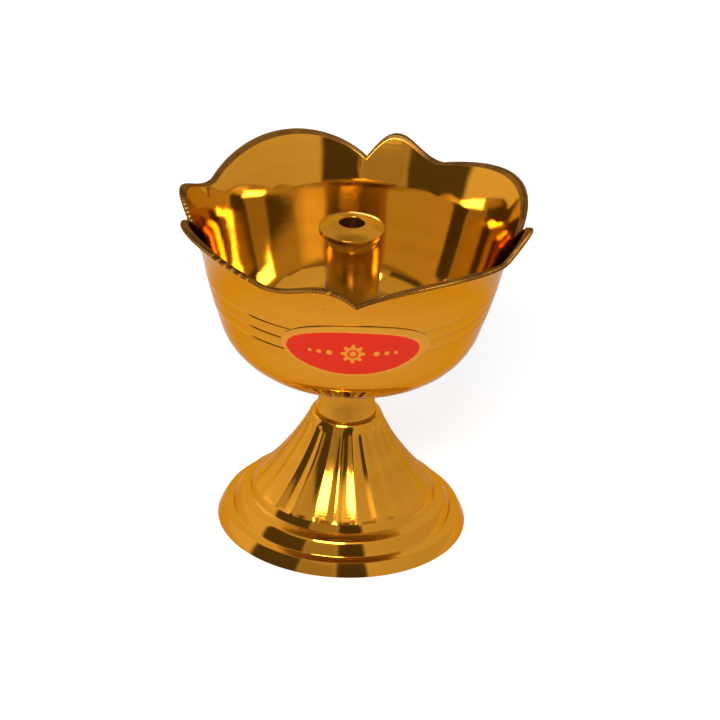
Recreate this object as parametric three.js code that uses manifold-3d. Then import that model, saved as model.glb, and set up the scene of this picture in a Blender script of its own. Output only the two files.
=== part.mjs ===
// A brass diya: a small oil lamp with a petalled bowl on a fluted, hollow foot.
//
// From the top down a bench would hold the wick holder, whose screwed shank goes down through
// everything, the bowl, the neck collar and the foot, and under the foot's crown the washer
// and the nut that clamp the stack together. A thin oval sticker lies on the bowl's front.
//
// Millimetres, +Z up. The lamp stands on z = 0 with its axis on Z, and its front faces -Y.
// Angles round the axis start at the front and run towards +X.

import * as THREE from 'three';
import Module from 'manifold-3d';
import { mergeVertices } from 'three/addons/utils/BufferGeometryUtils.js';

const wasm = await Module();
wasm.setup();

// Foot: three turned steps, then a flared skirt with hollow flutes up to a plain shoulder.
const FOOT_RADIUS = 23.2;
const FOOT_HEIGHT = 22.9;
const FOOT_STEPS = [
  { riserRun: 1.2, riserRise: 2.43, treadRun: 1.6, treadRise: 0.31 },
  { riserRun: 1.25, riserRise: 2.46, treadRun: 1.95, treadRise: 0.74 },
  { riserRun: 0.85, riserRise: 1.76, treadRun: 0, treadRise: 0 },
];
const RISER_BULGE = 0.06;
const FLUTE_COUNT = 24;
const FLUTE_DEPTH = 0.36;
const FRONT_RIDGE_ANGLE = -3.75;
const SKIRT_WAIST_RADIUS = 10.05;
const SKIRT_WAIST_HEIGHT = 14.65;
const SHOULDER_RADIUS = 6.92;
const SHOULDER_DROP = 1.25;
const CROWN_RADIUS = 6.0;
const CROWN_THICKNESS = 2.6;
const SHOULDER_ROUNDING = 1 / 3;
const FOOT_WALL = 2.0;

// Neck collar: a waisted turned ring between the foot's crown and the bowl.
const COLLAR_HEIGHT = 10.1;
const COLLAR_BASE_RADIUS = 5.7;
const COLLAR_WAIST_RADIUS = 5.0;
const COLLAR_TOP_RADIUS = 6.6;
const COLLAR_BASE_SWEEP = 0.3;
const COLLAR_TOP_SWEEP = 1 / 3;

// Bowl: spun sheet, heights are above its underside.
const BOWL_WALL = 1.0;
const BOWL_FLOOR_RADIUS = 9.0;
const BELLY_RADIUS = 24.44;
const BELLY_HEIGHT = 10.26;
const BELLY_CORNER_RUN = 9.98;
const BELLY_CORNER_RISE = 4.77;
const BELLY_DRAW_IN = 1.18;
const WALL_TOP_RADIUS = 27.84;
const WALL_TOP_HEIGHT = 22.5;
const WALL_SWELL = 0.19;
const RIM_RADIUS = 33.1;
const RIM_HEIGHT = 32.4;
const RIM_FLARE_RUN = 1.25;
const LIP_OVERHANG = 0.4;
const LIP_DEPTH = 1.0;
const SCORE_LINE_HEIGHTS = [14.6, 17.1, 19.6];
const SCORE_LINE_WIDTH = 0.36;
const SCORE_LINE_DEPTH = 0.15;

// Petals: four wide ones and four narrow ones, cut by hand, so a little uneven. A wide petal
// runs from a sharp cleft to a shallow one and a narrow petal from there to the next sharp one.
const SHARP_CLEFT_ANGLES = [2.4, 90.4, 177.1, 271.2];
const SHALLOW_CLEFT_ANGLES = [64.4, 148.6, 240.8, 328.7];
const SHARP_CLEFT_DEPTH = 4.7;
const SHALLOW_CLEFT_DEPTH = 3.4;
const NARROW_PETAL_DROP = 0.6;
const WIDE_PETAL = { lean: 0.88, fullness: 0.95 };
const NARROW_PETAL = { lean: 1.55, fullness: 1.2 };

// Wick holder: one turned piece, a flanged post with a blind bore and a long shank.
const POST_RADIUS = 5.05;
const POST_HEIGHT = 27.0;
const FLANGE_RADIUS = 6.07;
const FLANGE_EDGE = 1.25;
const FLANGE_CROWN = 1.05;
const FLANGE_TAPER = 1.9;
const TAPER_SWEEP = 1 / 3;
const WICK_BORE_RADIUS = 2.32;
const WICK_BORE_DEPTH = 25.2;
const BORE_CHAMFER = 0.25;
const OIL_HOLE_RADIUS = 1.5;
const OIL_HOLE_HEIGHT = 4.2;
const DRILL_OVERRUN = 2.5;
const SHANK_RADIUS = 2.4;
const SHANK_PAST_NUT = 1.2;
const SHANK_CHAMFER = 0.4;

// Fastening inside the hollow foot.
const SHANK_CLEARANCE = 0.3;
const WASHER_RADIUS = 5.0;
const WASHER_THICKNESS = 0.8;
const NUT_ACROSS_FLATS = 8.0;
const NUT_HEIGHT = 4.0;
const NUT_SIDES = 6;

// Sticker on the bowl's front.
const LABEL_WIDTH = 28.0;
const LABEL_LENGTH_UP = 12.0;
const LABEL_HEIGHT = 16.35;
const LABEL_ANGLE = 2.9;
const LABEL_THICKNESS = 0.15;
const LABEL_GAP = 0.15;

// Facets.
const PETAL_COLUMNS = { wide: 16, narrow: 8 };
const FLUTE_COLUMNS = 4;
const POST_COLUMNS = 32;
const OIL_HOLE_COLUMNS = 16;
const CURVE_STEPS = 6;
const ROUNDING_STEPS = 3;
const COLLAR_TOP_STEPS = 4;
const BOWL_OUTSIDE_STEPS = { belly: 6, wall: 3, flare: 5 };
const BOWL_INSIDE_STEPS = { belly: 6, wall: 2, flare: 4 };
const LABEL_RINGS = 4;
const WELD_DISTANCE = 1e-5;
const HEIGHT_SLACK = 1e-3;
const SEARCH_STEPS = 30;

// Counts, heights and radii that follow from those above.
const BOWL_COLUMNS = SHARP_CLEFT_ANGLES.length * (PETAL_COLUMNS.wide + PETAL_COLUMNS.narrow);
const FOOT_COLUMNS = FLUTE_COUNT * FLUTE_COLUMNS;
const BOWL_BOTTOM = FOOT_HEIGHT + COLLAR_HEIGHT;
const BOWL_FLOOR = BOWL_BOTTOM + BOWL_WALL;
const RIM_TOP = BOWL_BOTTOM + RIM_HEIGHT;
const CROWN_UNDERSIDE = FOOT_HEIGHT - CROWN_THICKNESS;
const NUT_TOP = CROWN_UNDERSIDE - WASHER_THICKNESS;
const NUT_BOTTOM = NUT_TOP - NUT_HEIGHT;
const SHANK_END = NUT_BOTTOM - SHANK_PAST_NUT;
const HOLE_RADIUS = SHANK_RADIUS + SHANK_CLEARANCE;
const COLLAR_WAIST_HEIGHT = FOOT_HEIGHT + COLLAR_HEIGHT / 2;

const brass = (color, roughness) =>
  new THREE.MeshStandardMaterial({ color, roughness, metalness: 1.0 });

const point = (radius, height) => new THREE.Vector2(radius, height);

const radians = THREE.MathUtils.degToRad;

// Points along a bend from one place to another that leaves and arrives towards a corner.
function bend(from, corner, to, steps = CURVE_STEPS) {
  return new THREE.QuadraticBezierCurve(from, corner, to).getPoints(steps);
}

// A closed outline turned round Z into a solid.
function turned(outline, columns) {
  const geometry = new THREE.LatheGeometry([...outline, outline[0]], columns);
  geometry.rotateX(Math.PI / 2);
  return welded(geometry);
}

// A solid turned from an outline that starts and ends on the axis.
function turnedSolid(outline, columns) {
  const geometry = new THREE.LatheGeometry(outline, columns);
  geometry.rotateX(Math.PI / 2);
  return welded(geometry);
}

// Shared vertices merged, so that neighbouring faces meet.
function welded(geometry) {
  geometry.deleteAttribute('normal');
  geometry.deleteAttribute('uv');
  return mergeVertices(geometry, WELD_DISTANCE);
}

function toManifold(geometry) {
  const mesh = new wasm.Mesh({
    numProp: 3,
    vertProperties: new Float32Array(geometry.attributes.position.array),
    triVerts: new Uint32Array(geometry.index.array),
  });
  return new wasm.Manifold(mesh);
}

function fromManifold(solid) {
  const mesh = solid.getMesh();
  const geometry = new THREE.BufferGeometry();
  geometry.setAttribute('position', new THREE.BufferAttribute(mesh.vertProperties, 3));
  geometry.setIndex(new THREE.BufferAttribute(mesh.triVerts, 1));
  return geometry;
}

// Each vertex is moved by a rule that is given its angle from the front, radius and height.
function reshape(geometry, rule) {
  const position = geometry.attributes.position;
  for (let i = 0; i < position.count; i += 1) {
    const x = position.getX(i);
    const y = position.getY(i);
    const angle = Math.atan2(x, -y);
    const next = rule({ angle, radius: Math.hypot(x, y), height: position.getZ(i) });
    place(position, i, next);
  }
  return geometry;
}

function place(position, i, { angle, radius, height }) {
  position.setXYZ(i, radius * Math.sin(angle), -radius * Math.cos(angle), height);
}

// Outline moved sideways by a distance, each point along the mean of its two edge normals.
function offsetOutline(points, distance) {
  return points.map((here, i) => {
    const before = points[Math.max(i - 1, 0)];
    const after = points[Math.min(i + 1, points.length - 1)];
    const along = after.clone().sub(before).normalize();
    return point(here.x - along.y * distance, here.y + along.x * distance);
  });
}

// Foot

function stepOutline() {
  const outline = [point(FOOT_RADIUS, 0)];
  for (const step of FOOT_STEPS) {
    const low = outline.at(-1);
    const high = point(low.x - step.riserRun, low.y + step.riserRise);
    const bulge = point(RISER_BULGE, RISER_BULGE);
    const middle = low.clone().lerp(high, 0.5).add(bulge);
    outline.push(middle, high);
    if (step.treadRun > 0) {
      outline.push(point(high.x - step.treadRun, high.y + step.treadRise));
    }
  }
  return outline;
}

// The flared outline from the top step to the shoulder.
function skirtOutline(skirtLow) {
  const waist = point(SKIRT_WAIST_RADIUS, SKIRT_WAIST_HEIGHT);
  return bend(skirtLow, waist, point(SHOULDER_RADIUS, FOOT_HEIGHT - SHOULDER_DROP));
}

// Each vertex of the skirt's outside is drawn in between two ridges. The flutes are full on the
// skirt and fade out over the last stretch below the shoulder.
function fluted(geometry, skirt) {
  const skirtLow = skirt[0];
  const skirtTop = skirt.at(-1);
  const fade = (skirtTop.y - skirtLow.y) / CURVE_STEPS;
  return reshape(geometry, ({ angle, radius, height }) => {
    const outlinePoint = skirt.find((p) => Math.hypot(p.x - radius, p.y - height) < HEIGHT_SLACK);
    if (!outlinePoint) {
      return { angle, radius, height };
    }
    const hollow = Math.abs(Math.sin(((angle - radians(FRONT_RIDGE_ANGLE)) * FLUTE_COUNT) / 2));
    const strength = Math.min((skirtTop.y - height) / fade, 1);
    const depth = FLUTE_DEPTH * (radius / skirtLow.x) * strength * hollow;
    return { angle, radius: radius - depth, height };
  });
}

function makeFoot() {
  const steps = stepOutline();
  const skirt = skirtOutline(steps.at(-1));
  const crownEdge = point(CROWN_RADIUS, FOOT_HEIGHT);
  const shoulderCorner = point(SHOULDER_RADIUS - SHOULDER_DROP * SHOULDER_ROUNDING, FOOT_HEIGHT);
  const shoulder = bend(skirt.at(-1), shoulderCorner, crownEdge, ROUNDING_STEPS);
  const hollowLow = offsetOutline([point(FOOT_RADIUS, 0), skirt[0]], FOOT_WALL).at(-1);
  const insideHollow = (p) => p.y > hollowLow.y && p.y < CROWN_UNDERSIDE;
  const hollowSkirt = offsetOutline(skirt, FOOT_WALL).filter(insideHollow);
  const hollowTop = point(hollowSkirt.at(-1).x, CROWN_UNDERSIDE);
  const outline = [
    point(FOOT_RADIUS - FOOT_WALL, 0),
    ...steps,
    ...skirt.slice(1),
    ...shoulder.slice(1),
    point(HOLE_RADIUS, FOOT_HEIGHT),
    point(HOLE_RADIUS, CROWN_UNDERSIDE),
    hollowTop,
    ...hollowSkirt.reverse(),
    hollowLow,
  ];
  return fluted(turned(outline, FOOT_COLUMNS), skirt);
}

// Neck collar

function makeNeckCollar() {
  const base = point(COLLAR_BASE_RADIUS, FOOT_HEIGHT);
  const top = point(COLLAR_TOP_RADIUS, BOWL_BOTTOM);
  const waist = point(COLLAR_WAIST_RADIUS, COLLAR_WAIST_HEIGHT);
  const baseCorner = point(COLLAR_WAIST_RADIUS, FOOT_HEIGHT + COLLAR_HEIGHT * COLLAR_BASE_SWEEP);
  const topCorner = point(COLLAR_WAIST_RADIUS, COLLAR_WAIST_HEIGHT + COLLAR_HEIGHT * COLLAR_TOP_SWEEP);
  const lower = bend(base, baseCorner, waist, ROUNDING_STEPS);
  const upper = bend(waist, topCorner, top, COLLAR_TOP_STEPS);
  const outline = [
    point(HOLE_RADIUS, FOOT_HEIGHT),
    ...lower,
    ...upper.slice(1),
    point(HOLE_RADIUS, BOWL_BOTTOM),
  ];
  return turned(outline, POST_COLUMNS);
}

// Bowl

const bellyPoint = point(BELLY_RADIUS, BOWL_BOTTOM + BELLY_HEIGHT);
const wallTopPoint = point(WALL_TOP_RADIUS, BOWL_BOTTOM + WALL_TOP_HEIGHT);
const rimPoint = point(RIM_RADIUS, RIM_TOP);

function wallCurve() {
  const middle = bellyPoint.clone().lerp(wallTopPoint, 0.5);
  const corner = point(middle.x + 2 * WALL_SWELL, middle.y);
  return new THREE.QuadraticBezierCurve(bellyPoint, corner, wallTopPoint);
}

function flareCurve() {
  const corner = point(WALL_TOP_RADIUS + RIM_FLARE_RUN, (wallTopPoint.y + RIM_TOP) / 2);
  return new THREE.QuadraticBezierCurve(wallTopPoint, corner, rimPoint);
}

// Outer radius of the wall at a height: both curves rise evenly enough to be searched.
function wallRadiusAt(height) {
  const curve = height < wallTopPoint.y ? wallCurve() : flareCurve();
  let low = 0;
  let high = 1;
  for (let i = 0; i < SEARCH_STEPS; i += 1) {
    const middle = (low + high) / 2;
    if (curve.getPoint(middle).y < height) {
      low = middle;
    } else {
      high = middle;
    }
  }
  return curve.getPoint(low).x;
}

// Outer outline from the floor hole up to the rim, the score lines left out.
function bowlOutline(steps) {
  const floorEdge = point(BOWL_FLOOR_RADIUS, BOWL_BOTTOM);
  const floorHandle = point(BOWL_FLOOR_RADIUS + BELLY_CORNER_RUN, BOWL_BOTTOM);
  const wallHandle = point(BELLY_RADIUS - BELLY_DRAW_IN, bellyPoint.y - BELLY_CORNER_RISE);
  const belly = new THREE.CubicBezierCurve(floorEdge, floorHandle, wallHandle, bellyPoint);
  return [
    point(HOLE_RADIUS, BOWL_BOTTOM),
    ...belly.getPoints(steps.belly),
    ...wallCurve().getPoints(steps.wall).slice(1),
    ...flareCurve().getPoints(steps.flare).slice(1),
  ];
}

function scoreLine(heightAboveBottom) {
  const height = BOWL_BOTTOM + heightAboveBottom;
  const half = SCORE_LINE_WIDTH / 2;
  return [
    point(wallRadiusAt(height - half), height - half),
    point(wallRadiusAt(height) - SCORE_LINE_DEPTH, height),
    point(wallRadiusAt(height + half), height + half),
  ];
}

function withScoreLines(outline) {
  const clearOf = (lineHeight, p) => Math.abs(p.y - BOWL_BOTTOM - lineHeight) > SCORE_LINE_WIDTH;
  const kept = (p) => p.x < BELLY_RADIUS || SCORE_LINE_HEIGHTS.every((h) => clearOf(h, p));
  const scored = outline.filter(kept);
  for (const lineHeight of SCORE_LINE_HEIGHTS) {
    const line = scoreLine(lineHeight);
    const above = scored.findIndex((p) => p.y > line[1].y && p.x > BELLY_RADIUS);
    scored.splice(above, 0, ...line);
  }
  return scored;
}

// The eight petals in order round the rim, each with its ends and the shape of its edge.
function petals() {
  return SHARP_CLEFT_ANGLES.flatMap((sharp, i) => {
    const shallow = SHALLOW_CLEFT_ANGLES[i];
    const next = SHARP_CLEFT_ANGLES[i + 1] ?? SHARP_CLEFT_ANGLES[0] + 360;
    const wide = {
      ...WIDE_PETAL,
      from: sharp,
      to: shallow,
      dips: [SHARP_CLEFT_DEPTH, SHALLOW_CLEFT_DEPTH],
      peak: 0,
      columns: PETAL_COLUMNS.wide,
    };
    const narrow = {
      ...NARROW_PETAL,
      from: shallow,
      to: next,
      dips: [SHALLOW_CLEFT_DEPTH, SHARP_CLEFT_DEPTH],
      peak: NARROW_PETAL_DROP,
      columns: PETAL_COLUMNS.narrow,
    };
    return [wide, narrow];
  });
}

// How far the rim lies below its highest point at a fraction along a petal.
function rimDrop(petal, fraction) {
  const dip = THREE.MathUtils.lerp(petal.dips[0], petal.dips[1], fraction);
  const wave = Math.max(Math.sin(Math.PI * fraction ** petal.lean), 0) ** petal.fullness;
  return THREE.MathUtils.lerp(dip, petal.peak, wave);
}

// Column k of the evenly turned wall belongs to this petal, at this fraction along it.
function petalOfColumn(column) {
  let first = 0;
  for (const petal of petals()) {
    if (column < first + petal.columns) {
      return { petal, fraction: (column - first) / petal.columns };
    }
    first += petal.columns;
  }
  return petalOfColumn(column - BOWL_COLUMNS);
}

// The spun wall is cut into petals: every column is turned to its place along a petal and
// stretched along the flare, so that its edge lands on the petal's outline. The lip only slides
// down, because it is as deep in the clefts as on the petals.
function petalled(geometry) {
  const foldHeight = wallTopPoint.y;
  const flareHeight = RIM_TOP - LIP_DEPTH - foldHeight;
  return reshape(geometry, ({ angle, radius, height }) => {
    const column = Math.round((angle / (2 * Math.PI) + 1) * BOWL_COLUMNS) % BOWL_COLUMNS;
    const { petal, fraction } = petalOfColumn(column);
    const turnedTo = radians(THREE.MathUtils.lerp(petal.from, petal.to, fraction));
    if (height <= foldHeight) {
      return { angle: turnedTo, radius, height };
    }
    const drop = rimDrop(petal, fraction);
    const share = Math.min((height - foldHeight) / flareHeight, 1);
    const cutHeight = height - drop * share;
    const slide = wallRadiusAt(cutHeight) - wallRadiusAt(height);
    return { angle: turnedTo, radius: radius + slide, height: cutHeight };
  });
}

function makeBowl() {
  const belowLip = (p) => p.y < RIM_TOP - LIP_DEPTH;
  const outer = withScoreLines(bowlOutline(BOWL_OUTSIDE_STEPS).filter(belowLip));
  const lip = [
    point(wallRadiusAt(RIM_TOP - LIP_DEPTH), RIM_TOP - LIP_DEPTH),
    point(RIM_RADIUS + LIP_OVERHANG, RIM_TOP - LIP_DEPTH / 2),
    point(RIM_RADIUS + LIP_OVERHANG, RIM_TOP),
  ];
  const inner = offsetOutline(bowlOutline(BOWL_INSIDE_STEPS).slice(1), BOWL_WALL).filter(belowLip);
  const innerRim = point(RIM_RADIUS - BOWL_WALL, RIM_TOP);
  const outline = [
    ...outer,
    ...lip,
    innerRim,
    ...inner.reverse(),
    point(HOLE_RADIUS, BOWL_FLOOR),
  ];
  return petalled(turned(outline, BOWL_COLUMNS));
}

// Wick holder

function makeWickHolder() {
  const flangeTop = BOWL_FLOOR + POST_HEIGHT;
  const flangeUnder = flangeTop - FLANGE_EDGE;
  const boreTop = flangeTop + FLANGE_CROWN;
  const flangeReach = FLANGE_RADIUS - POST_RADIUS;
  const taper = bend(
    point(POST_RADIUS, flangeUnder - FLANGE_TAPER),
    point(POST_RADIUS + flangeReach * TAPER_SWEEP, flangeUnder - FLANGE_TAPER * TAPER_SWEEP),
    point(FLANGE_RADIUS - BORE_CHAMFER, flangeUnder),
    ROUNDING_STEPS,
  );
  const outline = [
    point(0, SHANK_END),
    point(SHANK_RADIUS - SHANK_CHAMFER, SHANK_END),
    point(SHANK_RADIUS, SHANK_END + SHANK_CHAMFER),
    point(SHANK_RADIUS, BOWL_FLOOR),
    point(POST_RADIUS, BOWL_FLOOR),
    ...taper,
    point(FLANGE_RADIUS, flangeUnder + BORE_CHAMFER),
    point(FLANGE_RADIUS, flangeTop),
    point(WICK_BORE_RADIUS + BORE_CHAMFER, boreTop),
    point(WICK_BORE_RADIUS, boreTop - BORE_CHAMFER),
    point(WICK_BORE_RADIUS, boreTop - WICK_BORE_DEPTH),
    point(0, boreTop - WICK_BORE_DEPTH),
  ];
  const post = toManifold(turnedSolid(outline, POST_COLUMNS));
  const drill = new THREE.CylinderGeometry(
    OIL_HOLE_RADIUS,
    OIL_HOLE_RADIUS,
    2 * (POST_RADIUS + DRILL_OVERRUN),
    OIL_HOLE_COLUMNS,
  );
  drill.rotateZ(Math.PI / 2);
  drill.translate(0, 0, BOWL_FLOOR + OIL_HOLE_HEIGHT);
  return fromManifold(post.subtract(toManifold(welded(drill))));
}

// Washer and nut

function makeWasher() {
  const outline = [
    point(HOLE_RADIUS, NUT_TOP),
    point(WASHER_RADIUS, NUT_TOP),
    point(WASHER_RADIUS, CROWN_UNDERSIDE),
    point(HOLE_RADIUS, CROWN_UNDERSIDE),
  ];
  return turned(outline, POST_COLUMNS);
}

function makeNut() {
  const cornerRadius = NUT_ACROSS_FLATS / 2 / Math.cos(Math.PI / NUT_SIDES);
  const corners = Array.from({ length: NUT_SIDES }, (_, i) => {
    const angle = (2 * Math.PI * i) / NUT_SIDES;
    return point(cornerRadius * Math.cos(angle), cornerRadius * Math.sin(angle));
  });
  const outline = new THREE.Shape(corners);
  outline.holes.push(new THREE.Path().absarc(0, 0, HOLE_RADIUS, 0, 2 * Math.PI, true));
  const nut = new THREE.ExtrudeGeometry(outline, {
    depth: NUT_HEIGHT,
    bevelEnabled: false,
    curveSegments: POST_COLUMNS / 2,
  });
  nut.translate(0, 0, NUT_BOTTOM);
  return nut;
}

// Sticker: a thin disc with rings of vertices, stretched to an oval and laid on the wall.
function makeLabel() {
  const outline = [];
  for (let ring = 0; ring <= LABEL_RINGS; ring += 1) {
    outline.push(point(ring / LABEL_RINGS, 0));
  }
  for (let ring = LABEL_RINGS; ring >= 0; ring -= 1) {
    outline.push(point(ring / LABEL_RINGS, LABEL_THICKNESS));
  }
  const sticker = turnedSolid(outline, POST_COLUMNS);
  const position = sticker.attributes.position;
  const centreRadius = wallRadiusAt(BOWL_BOTTOM + LABEL_HEIGHT);
  for (let i = 0; i < position.count; i += 1) {
    const angle = radians(LABEL_ANGLE) + (position.getX(i) * LABEL_WIDTH) / 2 / centreRadius;
    const height = BOWL_BOTTOM + LABEL_HEIGHT + (position.getY(i) * LABEL_LENGTH_UP) / 2;
    const radius = wallRadiusAt(height) + LABEL_GAP + position.getZ(i);
    place(position, i, { angle, radius, height });
  }
  return sticker;
}

function part(name, geometry, material) {
  const mesh = new THREE.Mesh(geometry, material);
  mesh.name = name;
  return mesh;
}

const diya = new THREE.Group();
diya.add(
  part('foot', makeFoot(), brass(0xd2902a, 0.22)),
  part('neck_collar', makeNeckCollar(), brass(0xc98a2a, 0.25)),
  part('bowl', makeBowl(), brass(0xd2902a, 0.14)),
  part('wick_holder', makeWickHolder(), brass(0xc4872c, 0.28)),
  part('clamp_washer', makeWasher(), brass(0xb98a3c, 0.4)),
  part('clamp_nut', makeNut(), brass(0xb98a3c, 0.4)),
  part('label', makeLabel(), new THREE.MeshStandardMaterial({
    color: 0xd8381a,
    roughness: 0.45,
    metalness: 0.0,
  })),
);

export default diya;
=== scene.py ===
# %% [markdown]
# # A brass diya
#
# A diya is a small oil lamp. This one is five visible things on one turned axis: a spun bowl with
# a petalled rim, a post that holds the wick, a short neck collar, a hollow foot with shallow flutes,
# and an oval sticker. A washer and a nut inside the foot clamp the stack together.
#
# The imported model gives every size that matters, so the lesson starts by loading it. Each piece
# below is then modelled again, finely enough for a mirror finish, in the space of its plain twin.

# %% Load the frame
import bisect
import math

import bmesh
import bpy
from mathutils import Matrix, Vector
from mathutils.geometry import interpolate_bezier


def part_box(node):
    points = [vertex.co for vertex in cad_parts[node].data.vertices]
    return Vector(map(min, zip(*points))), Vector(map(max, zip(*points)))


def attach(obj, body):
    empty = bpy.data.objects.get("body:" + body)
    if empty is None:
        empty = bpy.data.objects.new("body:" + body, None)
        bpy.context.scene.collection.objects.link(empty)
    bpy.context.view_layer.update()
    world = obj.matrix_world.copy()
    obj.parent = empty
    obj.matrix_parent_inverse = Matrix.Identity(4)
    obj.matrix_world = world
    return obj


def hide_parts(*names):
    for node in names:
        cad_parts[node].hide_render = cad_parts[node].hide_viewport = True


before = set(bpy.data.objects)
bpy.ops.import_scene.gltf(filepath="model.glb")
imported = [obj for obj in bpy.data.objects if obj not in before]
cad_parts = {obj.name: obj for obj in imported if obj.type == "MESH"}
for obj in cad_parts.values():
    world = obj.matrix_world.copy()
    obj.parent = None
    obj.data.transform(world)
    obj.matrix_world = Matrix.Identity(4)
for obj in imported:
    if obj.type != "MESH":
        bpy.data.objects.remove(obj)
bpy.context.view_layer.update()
for name in sorted(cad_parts):
    low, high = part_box(name)
    size = [round(1000 * side, 2) for side in high - low]
    print(f"{name}: {size} mm, starts at z {1000 * low.z:.2f} mm")

# %% [markdown]
# ## Heights from the frame
#
# Everything stands on one axis, so a height and a radius place any point. The heights are read
# from the plain pieces and kept in millimetres, because that is how a turner thinks of them.
# Angles round the axis start at the front, which faces -Y, and run towards +X.

# %% Heights in millimetres
MM = 0.001


def lowest(node):
    """Underside of a plain piece, in millimetres."""
    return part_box(node)[0].z / MM


def highest(node):
    """Top of a plain piece, in millimetres."""
    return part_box(node)[1].z / MM


FOOT_TOP = highest("foot")
BOWL_BOTTOM = lowest("bowl")
RIM_TOP = highest("bowl")
CROWN_UNDERSIDE = highest("clamp_washer")
NUT_TOP = highest("clamp_nut")
NUT_BOTTOM = lowest("clamp_nut")
SHANK_END = lowest("wick_holder")
BORE_TOP = highest("wick_holder")
print(f"foot to {FOOT_TOP:.1f}, bowl from {BOWL_BOTTOM:.1f} to {RIM_TOP:.1f}, wick bore at {BORE_TOP:.1f} mm")

# %% [markdown]
# ## Outlines, and the lathe
#
# A turned piece is an outline spun round the axis. Blender's spin operator is the lathe: it takes
# a wire of vertices and edges and sweeps it round in steps. Corners are softened before the spin,
# by bevelling the wire's own corner points, because a real turned corner always catches a thin
# line of light, and two dozen extra points on a wire cost less than a bevel on the spun mesh.
# A long spin slows down as the mesh grows, so an eighth of the turn is spun, and copied round.

# %% Curves for outlines
def bend(start, corner, end, steps):
    """Points along a bend that leaves start and reaches end, aimed at the corner between."""
    a, c, b = (Vector((*p, 0)) for p in (start, corner, end))
    return sweep(start, a.lerp(c, 2 / 3), b.lerp(c, 2 / 3), end, steps)


def sweep(start, start_handle, end_handle, end, steps):
    """Points along a Bezier curve with both of its handles given."""
    knots = [Vector((p[0], p[1], 0)) for p in (start, start_handle, end_handle, end)]
    return [(p.x, p.y) for p in interpolate_bezier(*knots, steps + 1)]


def offset(points, distance):
    """The outline moved sideways, to the left of its direction for a positive distance."""
    moved = []
    for i, here in enumerate(points):
        before = points[max(i - 1, 0)]
        after = points[min(i + 1, len(points) - 1)]
        along = Vector((after[0] - before[0], after[1] - before[1])).normalized()
        moved.append((here[0] - along.y * distance, here[1] + along.x * distance))
    return moved


print("a bend of 4 steps:", [tuple(round(v, 2) for v in p) for p in bend((0, 0), (1, 0), (1, 1), 4)])

# %% The lathe
SHARP_TURN = math.radians(24)
WELD = 1e-7


def wire(points, closed=True):
    """A wire of (radius, height) points in millimetres, drawn from the axis towards the front."""
    bm = bmesh.new()
    verts = [bm.verts.new((0, -radius * MM, height * MM)) for radius, height in points]
    pairs = list(zip(verts, verts[1:]))
    if closed:
        pairs.append((verts[-1], verts[0]))
    for pair in pairs:
        bm.edges.new(pair)
    return bm


def soften_corners(bm, radius, segments=3):
    """Bevels each corner of the wire that turns sharply, apart from points on the axis."""
    corners = []
    for vert in bm.verts:
        if len(vert.link_edges) != 2 or abs(vert.co.y) < WELD:
            continue
        one, other = (edge.other_vert(vert).co - vert.co for edge in vert.link_edges)
        if math.pi - one.angle(other) > SHARP_TURN:
            corners.append(vert)
    bmesh.ops.bevel(bm, geom=corners, offset=radius * MM, segments=segments, profile=0.5,
                    affect="VERTICES", clamp_overlap=True, material=-1)
    return bm


def spin(bm, columns):
    """Spins the wire an eighth of a turn, doubles that three times, and welds the seams."""
    bmesh.ops.spin(bm, geom=bm.verts[:] + bm.edges[:], cent=(0, 0, 0), axis=(0, 0, 1),
                   angle=math.pi / 4, steps=columns // 8)
    for turn in (math.pi / 4, math.pi / 2, math.pi):
        copy = bmesh.ops.duplicate(bm, geom=bm.verts[:] + bm.edges[:] + bm.faces[:])
        copied = [item for item in copy["geom"] if isinstance(item, bmesh.types.BMVert)]
        bmesh.ops.rotate(bm, verts=copied, cent=(0, 0, 0), matrix=Matrix.Rotation(turn, 3, "Z"))
    bmesh.ops.remove_doubles(bm, verts=bm.verts[:], dist=WELD)
    bmesh.ops.recalc_face_normals(bm, faces=bm.faces[:])
    return bm


# %% [markdown]
# ## Turning a mesh into a piece
#
# A finished piece stays at the origin with its place in its mesh. It rides on the body that its
# plain twin belongs to, hides that twin, and takes its material.

# %% Pieces
SMOOTH_UNDER = math.radians(40)


def new_object(name, bm):
    """Puts a bmesh into a new object of the scene."""
    mesh = bpy.data.meshes.new(name)
    bm.to_mesh(mesh)
    bm.free()
    made = bpy.data.objects.new(name, mesh)
    bpy.context.scene.collection.objects.link(made)
    return made


def piece(name, bm, body, node, material, smooth_under=SMOOTH_UNDER):
    """Makes an object of the mesh, hands it to its body, and prints what came out."""
    made = new_object(name, bm)
    mesh = made.data
    mesh.shade_smooth()
    mesh.set_sharp_from_angle(angle=smooth_under)
    mesh.materials.append(material)
    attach(made, body)
    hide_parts(node)
    mesh.calc_loop_triangles()
    print(f"{name}: {len(mesh.vertices)} vertices, {len(mesh.loop_triangles)} triangles")
    return made


def polar(vert):
    """Angle from the front, radius and height of a vertex, the last two in millimetres."""
    return math.atan2(vert.co.x, -vert.co.y), math.hypot(vert.co.x, vert.co.y) / MM, vert.co.z / MM


def put(vert, angle, radius, height):
    """Moves a vertex to an angle, radius and height."""
    vert.co = Vector((radius * math.sin(angle), -radius * math.cos(angle), height)) * MM
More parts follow.
